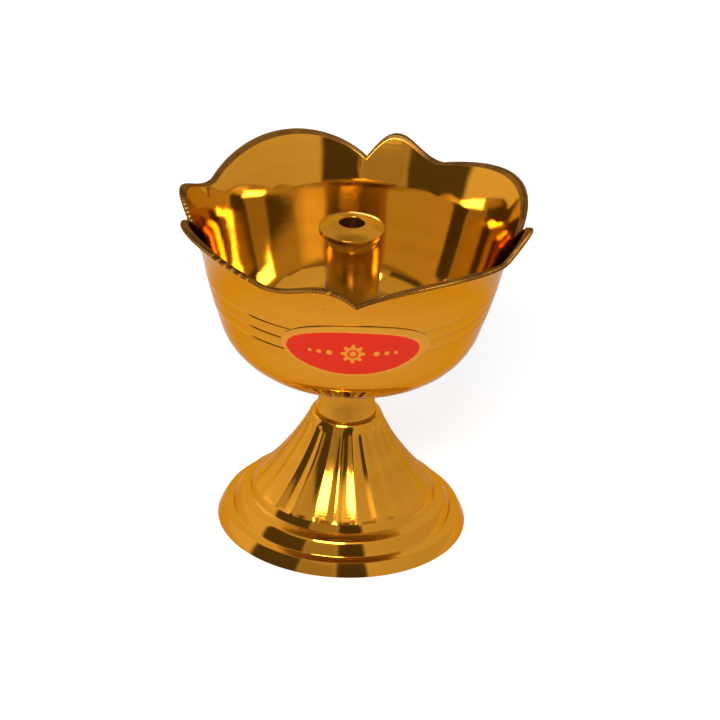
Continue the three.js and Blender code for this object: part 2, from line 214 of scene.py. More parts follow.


# %% [markdown]
# ## Brass
#
# Polished brass is nearly a mirror, so most of what shows is the room. What makes it brass and
# not gold paint is the tint of its reflections, the fine rings that the lathe left, and a skin
# that is a little cloudy where fingers and polish went. The rings are noise that is squeezed:
# its coordinates are the distance from the axis and the height, which are the same all the way
# round, plus a little of the plain position, so that no ring is perfectly even. That one pattern
# drives the bump. A slower noise clouds the roughness, and a third lets a brown patina into the
# colour, most where an attribute of the mesh says that a place is hard to reach. Through the same
# attribute the same brown also paints shade under the bowl and along the inside edge of its lip,
# and a dark reflection on the front of the collar.
# A few cells of a Voronoi pattern hold a pit each, as small castings and spun sheet both have, and
# the post, which stands in oil and flame, has stains as well.
#
# Light that bounces from brass to brass is tinted again each time, and with a gold this deep the
# inside of the bowl would end up blood red. Real brass is paler, and the photograph's warm balance
# deepens it only once. So brass that is seen in other brass has real brass's own weaker tint.

# %% Node helpers
PIT_FLOOR = 0.3


def connect(tree, output, target):
    """Links an output to a target socket, or sets the target to a plain value."""
    if isinstance(output, bpy.types.NodeSocket):
        tree.links.new(output, target)
    else:
        target.default_value = output


def maths(tree, operation, *inputs):
    node = tree.nodes.new("ShaderNodeMath")
    node.operation = operation
    for value, socket in zip(inputs, node.inputs):
        connect(tree, value, socket)
    return node.outputs[0]


def flipped(tree, value):
    """1 where the value is 0, and 0 where it is 1."""
    return maths(tree, "SUBTRACT", 1.0, value)


def vector_maths(tree, operation, first, second=None, scale=None):
    node = tree.nodes.new("ShaderNodeVectorMath")
    node.operation = operation
    connect(tree, first, node.inputs[0])
    if second is not None:
        connect(tree, second, node.inputs[1])
    if scale is not None:
        node.inputs["Scale"].default_value = scale
    return node.outputs["Value" if operation == "LENGTH" else "Vector"]


def noise(tree, coordinates, scale, detail=3.0, roughness=0.55):
    node = tree.nodes.new("ShaderNodeTexNoise")
    connect(tree, coordinates, node.inputs["Vector"])
    node.inputs["Scale"].default_value = scale
    node.inputs["Detail"].default_value = detail
    node.inputs["Roughness"].default_value = roughness
    return node.outputs["Fac"]


def pits(tree, coordinates, scale, share, width):
    """1 in the middle of a small pit, which only a share of the pattern's cells have."""
    node = tree.nodes.new("ShaderNodeTexVoronoi")
    connect(tree, coordinates, node.inputs["Vector"])
    node.inputs["Scale"].default_value = scale
    spot = remap(tree, node.outputs["Distance"], PIT_FLOOR * width, width, 1.0, 0.0, smooth=True)
    parts = tree.nodes.new("ShaderNodeSeparateColor")
    connect(tree, node.outputs["Color"], parts.inputs[0])
    return maths(tree, "MULTIPLY", spot, maths(tree, "LESS_THAN", parts.outputs["Red"], share))


def remap(tree, value, from_low, from_high, to_low, to_high, smooth=False):
    node = tree.nodes.new("ShaderNodeMapRange")
    node.interpolation_type = "SMOOTHSTEP" if smooth else "LINEAR"
    connect(tree, value, node.inputs["Value"])
    for socket, limit in zip(node.inputs[1:5], (from_low, from_high, to_low, to_high)):
        socket.default_value = limit
    return node.outputs["Result"]


def mix_colour(tree, factor, first, second):
    node = tree.nodes.new("ShaderNodeMix")
    node.data_type = "RGBA"
    connect(tree, factor, node.inputs["Factor"])
    connect(tree, first, node.inputs["A"])
    connect(tree, second, node.inputs["B"])
    return node.outputs["Result"]


def bump(tree, height, distance, normal=None):
    node = tree.nodes.new("ShaderNodeBump")
    connect(tree, height, node.inputs["Height"])
    node.inputs["Strength"].default_value = 1.0
    node.inputs["Distance"].default_value = distance
    if normal is not None:
        connect(tree, normal, node.inputs["Normal"])
    return node.outputs["Normal"]


def attribute(tree, name):
    node = tree.nodes.new("ShaderNodeAttribute")
    node.attribute_name = name
    return node.outputs["Fac"]


def ring_coordinates(tree, unevenness):
    """Radius and height as coordinates, the same all the way round, made a little uneven."""
    position = tree.nodes.new("ShaderNodeTexCoord").outputs["Object"]
    parts = tree.nodes.new("ShaderNodeSeparateXYZ")
    connect(tree, position, parts.inputs[0])
    flat = tree.nodes.new("ShaderNodeCombineXYZ")
    connect(tree, parts.outputs["X"], flat.inputs["X"])
    connect(tree, parts.outputs["Y"], flat.inputs["Y"])
    rings = tree.nodes.new("ShaderNodeCombineXYZ")
    connect(tree, vector_maths(tree, "LENGTH", flat.outputs[0]), rings.inputs["X"])
    connect(tree, parts.outputs["Z"], rings.inputs["Y"])
    drift = vector_maths(tree, "SCALE", position, scale=unevenness)
    return position, vector_maths(tree, "ADD", rings.outputs[0], drift)


def new_material(name):
    """A new material, with its node tree and its shader."""
    material = bpy.data.materials.new(name)
    material.use_nodes = True
    return material, material.node_tree, material.node_tree.nodes["Principled BSDF"]


# %% The brass material
BRASS = (0.710, 0.295, 0.024, 1.0)
WARM_BRASS = (0.640, 0.230, 0.016, 1.0)
BRASS_IN_BRASS = (0.800, 0.670, 0.380, 1.0)
EDGE_TINT = (0.89, 0.64, 0.42, 1.0)
# The brown below is patina, and also painted shade and a painted dark reflection where the mesh's attribute
# asks for them.
PATINA_AND_SHADE = (0.075, 0.032, 0.014, 1.0)
USUAL_NOISE = (0.35, 0.7)
PATCHY_NOISE = (0.45, 0.75)
STAIN_NOISE = (0.44, 0.60)
WARM_SHARE = 0.45
THINNEST_GRIME_AND_SHADE = 0.75
FAINTEST_STAIN = 0.4
DENT_DEPTH = 16e-6
PIT_DEPTH = 60e-6
PIT_DARKNESS = 0.8
GRIME_AND_SHADE_ROUGHNESS = 0.25


def brass(name, roughness, ring_depth, cloud=0.03, patina_and_shade=0.5, stain=0.0):
    """Turned and polished brass. Ring depth is in metres and cloud is how much the gloss varies. The
    last two arguments are how brown its dirty places and its painted shade get, and how brown its stains get."""
    material, tree, shader = new_material(name)
    position, rings = ring_coordinates(tree, unevenness=0.012)

    turning = noise(tree, rings, scale=2300, detail=4, roughness=0.62)
    dents = noise(tree, position, scale=110, detail=2)
    normal = bump(tree, dents, DENT_DEPTH)
    normal = bump(tree, turning, ring_depth, normal)
    pitted = pits(tree, position, scale=620, share=0.045, width=0.11)
    normal = bump(tree, flipped(tree, pitted), PIT_DEPTH, normal)
    connect(tree, normal, shader.inputs["Normal"])

    smudges = noise(tree, position, scale=160, detail=4, roughness=0.6)
    gloss = remap(tree, smudges, *USUAL_NOISE, roughness, roughness + cloud)
    grime_and_shade = attribute(tree, "grime_and_shade")
    dulled = maths(tree, "MULTIPLY_ADD", grime_and_shade, GRIME_AND_SHADE_ROUGHNESS, gloss)
    connect(tree, dulled, shader.inputs["Roughness"])

    streaks = noise(tree, rings, scale=420, detail=3)
    tone = mix_colour(tree, remap(tree, streaks, *USUAL_NOISE, 0.0, WARM_SHARE), BRASS, WARM_BRASS)
    bounced = tree.nodes.new("ShaderNodeLightPath").outputs["Is Glossy Ray"]
    tone = mix_colour(tree, bounced, tone, BRASS_IN_BRASS)
    patches = remap(tree, noise(tree, position, scale=240, detail=3), *PATCHY_NOISE, THINNEST_GRIME_AND_SHADE, 1.0)
    # the brown goes in as patina, as painted shade under the bowl and inside its lip, and as a painted dark
    # reflection on the collar, then over pits and stains
    dirt_and_shade = maths(tree, "MULTIPLY", maths(tree, "MULTIPLY", grime_and_shade, patches), patina_and_shade)
    dirt_and_shade = maths(tree, "MAXIMUM", dirt_and_shade, maths(tree, "MULTIPLY", pitted, PIT_DARKNESS))
    stains = noise(tree, position, scale=130, detail=4)
    stained = remap(tree, stains, *STAIN_NOISE, FAINTEST_STAIN * stain, stain, smooth=True)
    dirt_and_shade = maths(tree, "MAXIMUM", dirt_and_shade, stained)
    connect(tree, mix_colour(tree, dirt_and_shade, tone, PATINA_AND_SHADE), shader.inputs["Base Color"])
    shader.inputs["Metallic"].default_value = 1.0
    shader.inputs["Specular Tint"].default_value = EDGE_TINT
    print(f"{name}: brass, roughness {roughness:.2f} to {roughness + cloud:.2f}")
    return material


bowl_brass = brass("spun_brass", roughness=0.05, ring_depth=6e-6, patina_and_shade=1.0)
foot_brass = brass("cast_brass", roughness=0.06, ring_depth=6e-6, patina_and_shade=0.8)
collar_brass = brass("collar_brass", roughness=0.12, ring_depth=4e-6)
post_brass = brass("post_brass", roughness=0.17, ring_depth=7e-6, cloud=0.1, stain=0.38)
dull_brass = brass("dull_brass", roughness=0.32, ring_depth=9e-6, cloud=0.1, patina_and_shade=0.6)

# %% [markdown]
# ## The bowl
#
# The bowl is sheet brass spun over a form, cut into petals at the rim with snips and files, and
# opened outwards a little. The lip is thicker than the wall, and its edge was milled, so it has
# fine slanting cuts all round and a few coarse ones where the tool bit.
#
# It could be drawn as a grid of points, but a real bowl is turned first and cut afterwards, and
# the mesh follows that order: an outline is spun, then every column of vertices is turned to its
# place along a petal and stretched along the flare until its end lies on the petal's edge. The
# score lines are part of the outline, because the turner cut them with a pointed tool. Inside, the
# flare starts a little higher and runs straighter than outside, as its reflections show, so the
# inner and the outer wall are stretched along a curve of their own each.

# %% Bowl sizes
HOLE_RADIUS = 2.7
BOWL_WALL = 1.0
BOWL_FLOOR_RADIUS = 9.0
BELLY = (24.44, BOWL_BOTTOM + 10.26)
BELLY_CORNER_RUN = 9.98
BELLY_CORNER_RISE = 4.77
BELLY_DRAW_IN = 1.18
WALL_TOP = (27.84, BOWL_BOTTOM + 22.5)
WALL_SWELL = 0.19
RIM = (33.1, BOWL_BOTTOM + 32.4)
RIM_FLARE_RUN = 1.25
INNER_FOLD = (WALL_TOP[0] + 0.95, WALL_TOP[1] + 1.9)
INNER_FLARE_RUN = 2.05
FOLD_EASE = 2.6
LIP_OVERHANG = 0.28
LIP_DEPTH = 1.0
LIP_INSIDE = 0.45
LIP_SIDE = (0.5, 0.2)
LIP_TOP = (0.2, 0.55)
LIP_OUTER_ROUNDING = 0.25
LIP_INNER_ROUNDING = 0.15
LIP_UNDERCUT = (0.1, 0.15)
LIP_INNER_LEAN = 0.03
LIP_INNER_STEP = 0.15
WALL_ENDS_UNDER_LIP = 0.1
INSIDE_ENDS_UNDER_LIP = 0.4
SCORE_LINE_HEIGHTS = [BOWL_BOTTOM + height for height in (14.6, 17.1, 19.6)]
SCORE_LINE_WIDTH = 0.36
SCORE_LINE_DEPTH = 0.15
SCORE_LINE_SHAPE = [(-1.6, 0), (-1, -0.12), (-0.45, 0.55), (0, 1), (0.45, 0.55), (1, -0.12), (1.6, 0)]
BELLY_STEPS = 9
WALL_STEPS = 6
INNER_BELLY_STEPS = 6
INNER_WALL_STEPS = 5
FOLD_STEPS = 6
LIP_STEPS = 3
MEASURING_STEPS = 60
BOWL_FLOOR = BOWL_BOTTOM + BOWL_WALL
print(f"bowl floor at {BOWL_FLOOR:.1f} mm, rim radius {RIM[0]:.1f} mm")


# %% Bowl outline
def wall_curve(steps, fold=WALL_TOP, flare_run=RIM_FLARE_RUN):
    """The bowl from the belly up to the rim, folding outwards on the way."""
    middle = ((BELLY[0] + fold[0]) / 2 + 2 * WALL_SWELL, (BELLY[1] + fold[1]) / 2)
    flare_corner = (fold[0] + flare_run, (fold[1] + RIM[1]) / 2)
    wall = bend(BELLY, middle, fold, steps)
    return wall + bend(fold, flare_corner, RIM, steps)[1:]


def inner_curve(steps):
    """The same for the inside, before its offset, with the fold eased into a soft bend."""
    points = wall_curve(steps, INNER_FOLD, INNER_FLARE_RUN)
    below = [p for p in points if p[1] < INNER_FOLD[1] - FOLD_EASE]
    above = [p for p in points if p[1] > INNER_FOLD[1] + FOLD_EASE]
    return below + bend(below[-1], INNER_FOLD, above[0], FOLD_STEPS)[1:-1] + above


OUTSIDE = wall_curve(MEASURING_STEPS)
INSIDE = offset(inner_curve(MEASURING_STEPS), BOWL_WALL)


def wall_radius(height, curve=OUTSIDE):
    """Radius of the wall at a height, between the two nearest points of its curve."""
    above = min(max(bisect.bisect(curve, height, key=lambda point: point[1]), 1), len(curve) - 1)
    (low_radius, low), (high_radius, high) = curve[above - 1:above + 1]
    share = min(max((height - low) / (high - low), 0), 1)
    return low_radius + (high_radius - low_radius) * share


def bowl_shell(belly_steps, wall):
    """The bowl from the edge of its flat floor to the rim."""
    floor_edge = (BOWL_FLOOR_RADIUS, BOWL_BOTTOM)
    floor_handle = (BOWL_FLOOR_RADIUS + BELLY_CORNER_RUN, BOWL_BOTTOM)
    wall_handle = (BELLY[0] - BELLY_DRAW_IN, BELLY[1] - BELLY_CORNER_RISE)
    belly = sweep(floor_edge, floor_handle, wall_handle, BELLY, belly_steps)
    return belly + wall[1:]


def score_line(height):
    """The V of one turned line, with a little burr thrown up at each side."""
    half = SCORE_LINE_WIDTH / 2
    return [(wall_radius(height + half * across) - SCORE_LINE_DEPTH * depth, height + half * across)
            for across, depth in SCORE_LINE_SHAPE]


def scored(outline):
    """The outline with its score lines cut in."""
    kept = [p for p in outline
            if p[1] < BELLY[1] or all(abs(p[1] - h) > SCORE_LINE_WIDTH for h in SCORE_LINE_HEIGHTS)]
    lines = [p for height in SCORE_LINE_HEIGHTS for p in score_line(height)]
    low = [p for p in kept if p[1] < BELLY[1]]
    high = [p for p in kept if p[1] >= BELLY[1]]
    return low + sorted(high + lines, key=lambda p: p[1])


def bowl_outline():
    """The whole outline: up the outside, round the lip, and down the inside to the hole."""
    below_lip = RIM_TOP - LIP_DEPTH
    outer_shell = scored(bowl_shell(BELLY_STEPS, wall_curve(WALL_STEPS)))
    outside = [p for p in outer_shell if p[1] < below_lip - WALL_ENDS_UNDER_LIP]
    lip_edge = RIM[0] + LIP_OVERHANG
    lip_back = RIM[0] - BOWL_WALL
    under_lip = bend((wall_radius(below_lip), below_lip),
                     (lip_edge - LIP_UNDERCUT[0], below_lip + LIP_UNDERCUT[1]),
                     (lip_edge, RIM_TOP - LIP_SIDE[0]), LIP_STEPS)
    over_lip = bend((lip_edge, RIM_TOP - LIP_SIDE[1]), (lip_edge, RIM_TOP),
                    (lip_edge - LIP_OUTER_ROUNDING, RIM_TOP), LIP_STEPS)
    lip_top = [(RIM[0] - inset, RIM_TOP) for inset in LIP_TOP]
    into_bowl = bend((lip_back + LIP_INNER_ROUNDING, RIM_TOP), (lip_back, RIM_TOP),
                     (lip_back - LIP_INNER_LEAN, RIM_TOP - LIP_INNER_ROUNDING), LIP_STEPS)
    lip_end = RIM_TOP - LIP_INSIDE
    under_edge = [(wall_radius(height, INSIDE), height) for height in (lip_end, lip_end - LIP_INNER_STEP)]
    inner_shell = offset(bowl_shell(INNER_BELLY_STEPS, inner_curve(INNER_WALL_STEPS)), BOWL_WALL)
    inside = [p for p in inner_shell if p[1] < lip_end - INSIDE_ENDS_UNDER_LIP]
    lip = under_lip + over_lip + lip_top + into_bowl + under_edge
    return [(HOLE_RADIUS, BOWL_BOTTOM), *outside, *lip, *inside[::-1], (HOLE_RADIUS, BOWL_FLOOR)]


print(f"bowl outline: {len(bowl_outline())} points")

# %% Petals
SHARP_CLEFTS = (2.4, 90.4, 177.1, 271.2)
SHALLOW_CLEFTS = (64.4, 148.6, 240.8, 328.7)
SHARP_CLEFT_DEPTH = 4.7
SHALLOW_CLEFT_DEPTH = 3.4
NARROW_PETAL_DROP = 0.6
WIDE_COLUMNS = 216
NARROW_COLUMNS = 96
BOWL_COLUMNS = len(SHARP_CLEFTS) * (WIDE_COLUMNS + NARROW_COLUMNS)


def petals():
    """The eight petals in order round the rim: ends, depths of the clefts, and the edge's shape."""
    rows = []
    for i, (sharp, shallow) in enumerate(zip(SHARP_CLEFTS, SHALLOW_CLEFTS)):
        following = SHARP_CLEFTS[i + 1] if i + 1 < len(SHARP_CLEFTS) else SHARP_CLEFTS[0] + 360
        rows.append({"ends": (sharp, shallow), "dips": (SHARP_CLEFT_DEPTH, SHALLOW_CLEFT_DEPTH),
                     "peak": 0.0, "lean": 0.88, "fullness": 0.95, "columns": WIDE_COLUMNS})
        rows.append({"ends": (shallow, following), "dips": (SHALLOW_CLEFT_DEPTH, SHARP_CLEFT_DEPTH),
                     "peak": NARROW_PETAL_DROP, "lean": 1.55, "fullness": 1.2, "columns": NARROW_COLUMNS})
    return rows


def rim_drop(petal, share):
    """How far the rim lies below its highest point, a share of the way along a petal."""
    dip = petal["dips"][0] + (petal["dips"][1] - petal["dips"][0]) * share
    wave = max(math.sin(math.pi * share ** petal["lean"]), 0) ** petal["fullness"]
    return dip + (petal["peak"] - dip) * wave


def column_places():
    """For each column of the spun bowl, its angle in degrees and how far its edge drops."""
    places = []
    for petal in petals():
        start, end = petal["ends"]
        for step in range(petal["columns"]):
            share = step / petal["columns"]
            places.append((start + (end - start) * share, rim_drop(petal, share)))
    return places


print(f"{len(petals())} petals over {BOWL_COLUMNS} columns")

# %% Spin, cut and mill the bowl
TOOTH_DEPTH = 0.15
TOOTH_COLUMNS = 3
COARSE_CUT_DEPTH = 0.26
COARSE_CUT_COLUMNS = 11
COARSE_CUT_WIDTH = 4
COARSE_CUTS = [(309, 324), (351, 356)]
BETWEEN_CUTS = 0.02
CUT_SLANT = 0.22
CUT_LOWERS = 0.8
LIP_BAND = 1.25
LIP_SHARE = 0.62
INNER_SIDE = 0.3
INNER_EDGE_BAND = LIP_INSIDE + 0.05
LIP_GRIME = 1.3
WORN_DEPTH = 0.3
WORN_CLEAN = 0.6
CUT_CLEAN = 3.5
# Painted shade under the bowl: how far out it reaches, how it fades, and how dark it gets.
UNDERSIDE_SHADE_RADIUS = 21.0
UNDERSIDE_SHADE_FADE = 5.0
UNDERSIDE_PAINTED_SHADE = 0.85


def underside(radius):
    """Height halfway through the sheet at a radius, for the bowl's floor and belly."""
    near = min(bowl_shell(BELLY_STEPS, []), key=lambda point: abs(point[0] - radius))
    return near[1] + BOWL_WALL / 2


UNDERSIDE = [underside(radius) for radius in range(round(UNDERSIDE_SHADE_RADIUS) + 1)]


def stretched(radius, height, drop):
    """Radius and height of a point of the flare, once the edge above it is cut down by a drop.
    Below the lip a point follows the outer or the inner wall, and on the lip it goes in between."""
    fold = WALL_TOP[1]
    cut_height = height - drop * min((height - fold) / (RIM_TOP - LIP_DEPTH - fold), 1)
    inward = min(max((wall_radius(height) - radius) / BOWL_WALL, 0), 1)
    if RIM_TOP - height > LIP_INSIDE:
        inward = 1 if inward > INNER_SIDE else 0
    outer_step = wall_radius(cut_height) - wall_radius(height)
    inner_step = wall_radius(cut_height, INSIDE) - wall_radius(height, INSIDE)
    return radius + outer_step + (inner_step - outer_step) * inward, cut_height


def mill(column, degrees, depth):
    """Depth of the milling on the lip: slanting fine cuts, and coarse ones where the tool bit."""
    slant = round(depth / CUT_SLANT)
    if any(low < degrees % 360 < high for low, high in COARSE_CUTS):
        return COARSE_CUT_DEPTH if (column + slant) % COARSE_CUT_COLUMNS < COARSE_CUT_WIDTH else BETWEEN_CUTS
    return TOOTH_DEPTH * ((column + slant) % TOOTH_COLUMNS) / (TOOTH_COLUMNS - 1)


def cut_to_petals(bm):
    """Turns each column to its petal and stretches it along the flare to the petal's edge."""
    places = column_places()
    grime_and_shade = bm.verts.layers.float.new("grime_and_shade")
    for vert in bm.verts:
        angle, radius, height = polar(vert)
        column = round(angle / (2 * math.pi) * BOWL_COLUMNS) % BOWL_COLUMNS
        degrees, drop = places[column]
        depth = RIM_TOP - height
        on_lip = depth < LIP_BAND and radius > wall_radius(height) - LIP_SHARE * BOWL_WALL
        if height > WALL_TOP[1]:
            radius, height = stretched(radius, height, drop)
        if on_lip:
            cut = mill(column, degrees, depth)
            radius -= cut
            height -= cut * CUT_LOWERS
            worn = max(1 - abs(depth - WORN_DEPTH) / WORN_DEPTH, 0)
            vert[grime_and_shade] = LIP_GRIME - WORN_CLEAN * worn - CUT_CLEAN * cut
        elif depth < INNER_EDGE_BAND:
            # painted shade along the inside edge of the lip, which hides a highlight there
            vert[grime_and_shade] = 1.0
        elif radius < UNDERSIDE_SHADE_RADIUS and height < UNDERSIDE[round(radius)]:
            # painted shade under the bowl, darkest towards the axis
            vert[grime_and_shade] = UNDERSIDE_PAINTED_SHADE * min((UNDERSIDE_SHADE_RADIUS - radius) / UNDERSIDE_SHADE_FADE, 1)
        put(vert, math.radians(degrees), radius, height)


bowl_mesh = spin(wire(bowl_outline()), BOWL_COLUMNS)
cut_to_petals(bowl_mesh)
piece("petalled_bowl", bowl_mesh, "lamp", "bowl", bowl_brass)

# %% [markdown]
# ## The foot
#
# The foot is a hollow casting, turned outside into three steps under a flared skirt. The skirt
# has 24 shallow hollow flutes with a rounded ridge between each two. A ball-ended cutter could be
# copied round and subtracted, but the flutes are only a ripple on a turned form, so the outline
# is spun first and each vertex of the skirt is then drawn in by how far it lies from a ridge.
# The steps have nearly straight sides and crisp edges: a mirror shows such a slope as one band.

# %% Foot sizes
FOOT_RADIUS = 23.2
FOOT_STEPS = [
    {"riser": (1.2, 2.43), "tread": (1.6, 0.31)},
    {"riser": (1.25, 2.46), "tread": (1.95, 0.74)},
    {"riser": (0.85, 1.76), "tread": (0.0, 0.0)},
]
RISER_BULGE = 0.06
TREAD_HOLLOW = (0.1, 0.12)
RISER_STEPS = 5
TREAD_STEPS = 4
FLUTE_COUNT = 24
FLUTE_DEPTH = 0.36
FLUTE_GRIME = 0.25
FLUTE_FADE = 1 / 24
FLUTE_COLUMNS = 18
FRONT_RIDGE = math.radians(-3.75)
RIDGE_ROUNDING = 0.22
SKIRT_WAIST = (10.05, 14.65)
SHOULDER = (6.92, FOOT_TOP - 1.25)
SHOULDER_CORNER = (6.5, FOOT_TOP)
CROWN_EDGE = (6.0, FOOT_TOP)
SKIRT_STEPS = 30
SKIRT_MARGINS = (0.05, 0.01)
SHOULDER_STEPS = 5
FOOT_WALL = 2.0
FOOT_CORNER = 0.06
HOLLOW_SKIPS = 3
MIDDLE_LOWERED = 0.9
FOOT_COLUMNS = FLUTE_COUNT * FLUTE_COLUMNS
CRISP = math.radians(13)
print(f"foot: {FOOT_COLUMNS} columns, {FLUTE_COUNT} flutes")


# %% Foot outline
def foot_steps():
    """Outside of the steps from the floor up to the foot of the skirt."""
    outline = [(FOOT_RADIUS, 0.0)]
    for step in FOOT_STEPS:
        low = outline[-1]
        high = (low[0] - step["riser"][0], low[1] + step["riser"][1])
        bulge = ((low[0] + high[0]) / 2 + 2 * RISER_BULGE, (low[1] + high[1]) / 2 + 2 * RISER_BULGE)
        outline += bend(low, bulge, high, RISER_STEPS)[1:]
        if step["tread"][0]:
            inner = (high[0] - step["tread"][0], high[1] + step["tread"][1])
            hollow = ((high[0] + inner[0]) / 2 - TREAD_HOLLOW[0], (high[1] + inner[1]) / 2 - TREAD_HOLLOW[1])
            outline += bend(high, hollow, inner, TREAD_STEPS)[1:]
    return outline


def foot_outline():
    steps = foot_steps()
    skirt = bend(steps[-1], SKIRT_WAIST, SHOULDER, SKIRT_STEPS)
    shoulder = bend(SHOULDER, SHOULDER_CORNER, CROWN_EDGE, SHOULDER_STEPS)
    hollow_low = offset([(FOOT_RADIUS, 0.0), steps[-1]], FOOT_WALL)[-1]
    hollow = [p for p in offset(skirt, FOOT_WALL) if hollow_low[1] < p[1] < CROWN_UNDERSIDE][::HOLLOW_SKIPS]
    hole = [(HOLE_RADIUS, FOOT_TOP), (HOLE_RADIUS, CROWN_UNDERSIDE)]
    inside = [(hollow[-1][0], CROWN_UNDERSIDE), *hollow[::-1], hollow_low, (FOOT_RADIUS - FOOT_WALL, 0.0)]
    return steps + skirt[1:] + shoulder[1:] + hole + inside


def ripple(angle):
    """0 on a ridge and 1 in the middle of a flute, with the ridge rounded off."""
    wave = math.sin((angle - FRONT_RIDGE) * FLUTE_COUNT / 2)
    rounded = math.sqrt(wave * wave + RIDGE_ROUNDING ** 2) - RIDGE_ROUNDING
    return rounded / (math.sqrt(1 + RIDGE_ROUNDING ** 2) - RIDGE_ROUNDING)


def cut_flutes(bm):
    """Draws the skirt in between its ridges, and marks the flutes' upper ends, which keep dirt."""
    skirt_foot = foot_steps()[-1]
    skirt_height = SHOULDER[1] - skirt_foot[1]
    skirt = bend(skirt_foot, SKIRT_WAIST, SHOULDER, SKIRT_STEPS)
    middle = offset(skirt, FOOT_WALL / 2)
    lowest_cut = skirt_foot[1] - SKIRT_MARGINS[0]
    highest_cut = SHOULDER[1] + SKIRT_MARGINS[1]
    grime_and_shade = bm.verts.layers.float.new("grime_and_shade")
    for vert in bm.verts:
        angle, radius, height = polar(vert)
        middle_radius = next((p[0] for p in middle if p[1] >= height - MIDDLE_LOWERED), 0)
        if not lowest_cut < height < highest_cut or radius < middle_radius:
            continue
        hollow = ripple(angle)
        strength = min((SHOULDER[1] - height) / (skirt_height * FLUTE_FADE), 1.0)
        vert[grime_and_shade] = FLUTE_GRIME * strength * hollow * (height - skirt_foot[1]) / skirt_height
        put(vert, angle, radius - FLUTE_DEPTH * radius / skirt_foot[0] * strength * hollow, height)


foot_mesh = spin(soften_corners(wire(foot_outline()), FOOT_CORNER, segments=2), FOOT_COLUMNS)
cut_flutes(foot_mesh)
piece("fluted_foot", foot_mesh, "lamp", "foot", foot_brass, smooth_under=CRISP)

# %% [markdown]
# ## The neck collar
#
# A short waisted ring keeps the bowl clear of the foot. It is plain turned work, so its outline
# is two bends that meet at the waist, with its edges broken so that the seams at both ends show
# as thin dark lines.
# A dark reflection of the room is painted on its front, in a band above the foot.

# %% Collar
COLLAR_BASE_RADIUS = 5.7
COLLAR_WAIST_RADIUS = 5.0
COLLAR_TOP_RADIUS = 6.6
COLLAR_WAIST_HEIGHT = (FOOT_TOP + BOWL_BOTTOM) / 2
COLLAR_BASE_SWEEP = 0.3
COLLAR_TOP_SWEEP = 1 / 3
COLLAR_CORNER = 0.18
COLLAR_LOWER_STEPS = 10
COLLAR_UPPER_STEPS = 12
COLLAR_COLUMNS = 160
# Painted dark reflection on the front of the collar: where it faces, its height and its reach.
DARK_REFLECTION_ANGLE = math.radians(8)
DARK_REFLECTION_HEIGHT = FOOT_TOP + 2.5
DARK_REFLECTION_REACH = 4
SEAM_GRIME = 0.8
SEAM_BAND = 0.3


def collar_outline():
    height = BOWL_BOTTOM - FOOT_TOP
    waist = (COLLAR_WAIST_RADIUS, COLLAR_WAIST_HEIGHT)
    lower_corner = (COLLAR_WAIST_RADIUS, FOOT_TOP + COLLAR_BASE_SWEEP * height)
    upper_corner = (COLLAR_WAIST_RADIUS, COLLAR_WAIST_HEIGHT + COLLAR_TOP_SWEEP * height)
    lower = bend((COLLAR_BASE_RADIUS, FOOT_TOP), lower_corner, waist, COLLAR_LOWER_STEPS)
    upper = bend(waist, upper_corner, (COLLAR_TOP_RADIUS, BOWL_BOTTOM), COLLAR_UPPER_STEPS)
    return [(HOLE_RADIUS, FOOT_TOP)] + lower + upper[1:] + [(HOLE_RADIUS, BOWL_BOTTOM)]


collar_mesh = spin(soften_corners(wire(collar_outline()), COLLAR_CORNER), COLLAR_COLUMNS)
grime_and_shade = collar_mesh.verts.layers.float.new("grime_and_shade")
for vert in collar_mesh.verts:
    angle, radius, height = polar(vert)
    # painted dark reflection on the collar's front, in a band above the foot; the line at its base is a dark
    # joint
    round_it = max(math.cos(angle - DARK_REFLECTION_ANGLE), 0) ** 2
    painted_dark_reflection = round_it * (1 - abs(height - DARK_REFLECTION_HEIGHT) / DARK_REFLECTION_REACH)
    vert[grime_and_shade] = max(painted_dark_reflection, SEAM_GRIME * (height < FOOT_TOP + SEAM_BAND), 0)
piece("waisted_collar", collar_mesh, "lamp", "neck_collar", collar_brass)

# %% [markdown]
# ## The wick holder
#
# One piece of bar, turned: a post with a flange to rest the wick on, a blind bore down its middle
# and a screwed shank below that goes through bowl, collar and foot. A small hole through the post
# near the bowl's floor lets the oil reach the wick. The post is spun, the hole is drilled with
# a Boolean, as on the bench, and the thread is a triangle swept up a helix, which the same spin
# operator does when it is told to rise at every step. This post went back into the lathe a little
# askew for its flange and bore, so both sit half a millimetre to the left of its own axis.

# %% Wick holder sizes
POST_RADIUS = 5.05
FLANGE_TOP = BOWL_FLOOR + 27.0
FLANGE_RADIUS = 6.07
FLANGE_UNDER = FLANGE_TOP - 1.25
FLANGE_TAPER = 1.9
FLANGE_CHAMFER = 0.25
DOME_EDGE = (FLANGE_RADIUS - 0.3, FLANGE_TOP + 0.1)
DOME_CORNER = (4.6, FLANGE_TOP + 0.75)
WICK_BORE_RADIUS = 2.32
BORE_BOTTOM = BORE_TOP - 25.2
BORE_CONE = 0.6
BORE_CHAMFER = 0.25
OIL_HOLE_RADIUS = 1.5
OIL_HOLE_HEIGHT = BOWL_FLOOR + 4.2
OIL_HOLE_LENGTH = 3 * POST_RADIUS
SHANK_RADIUS = 2.4
SHANK_CHAMFER = 0.4
POST_CORNER = 0.1
POST_STEPS = 6
POST_COLUMNS = 192
THREAD_START = SHANK_END + 0.8
THREAD_END = CROWN_UNDERSIDE + 1.6
THREAD_PITCH = 0.8
THREAD_HEIGHT = 0.2
THREAD_ROOT_SINK = 0.05
THREAD_HALF_WIDTH = 0.42 * THREAD_PITCH
THREAD_STEPS = 32
FLANGE_SHIFT = 0.5
TOUCH = 0.01
print(f"flange at {FLANGE_TOP:.1f} mm, bore {2 * WICK_BORE_RADIUS:.2f} mm wide")


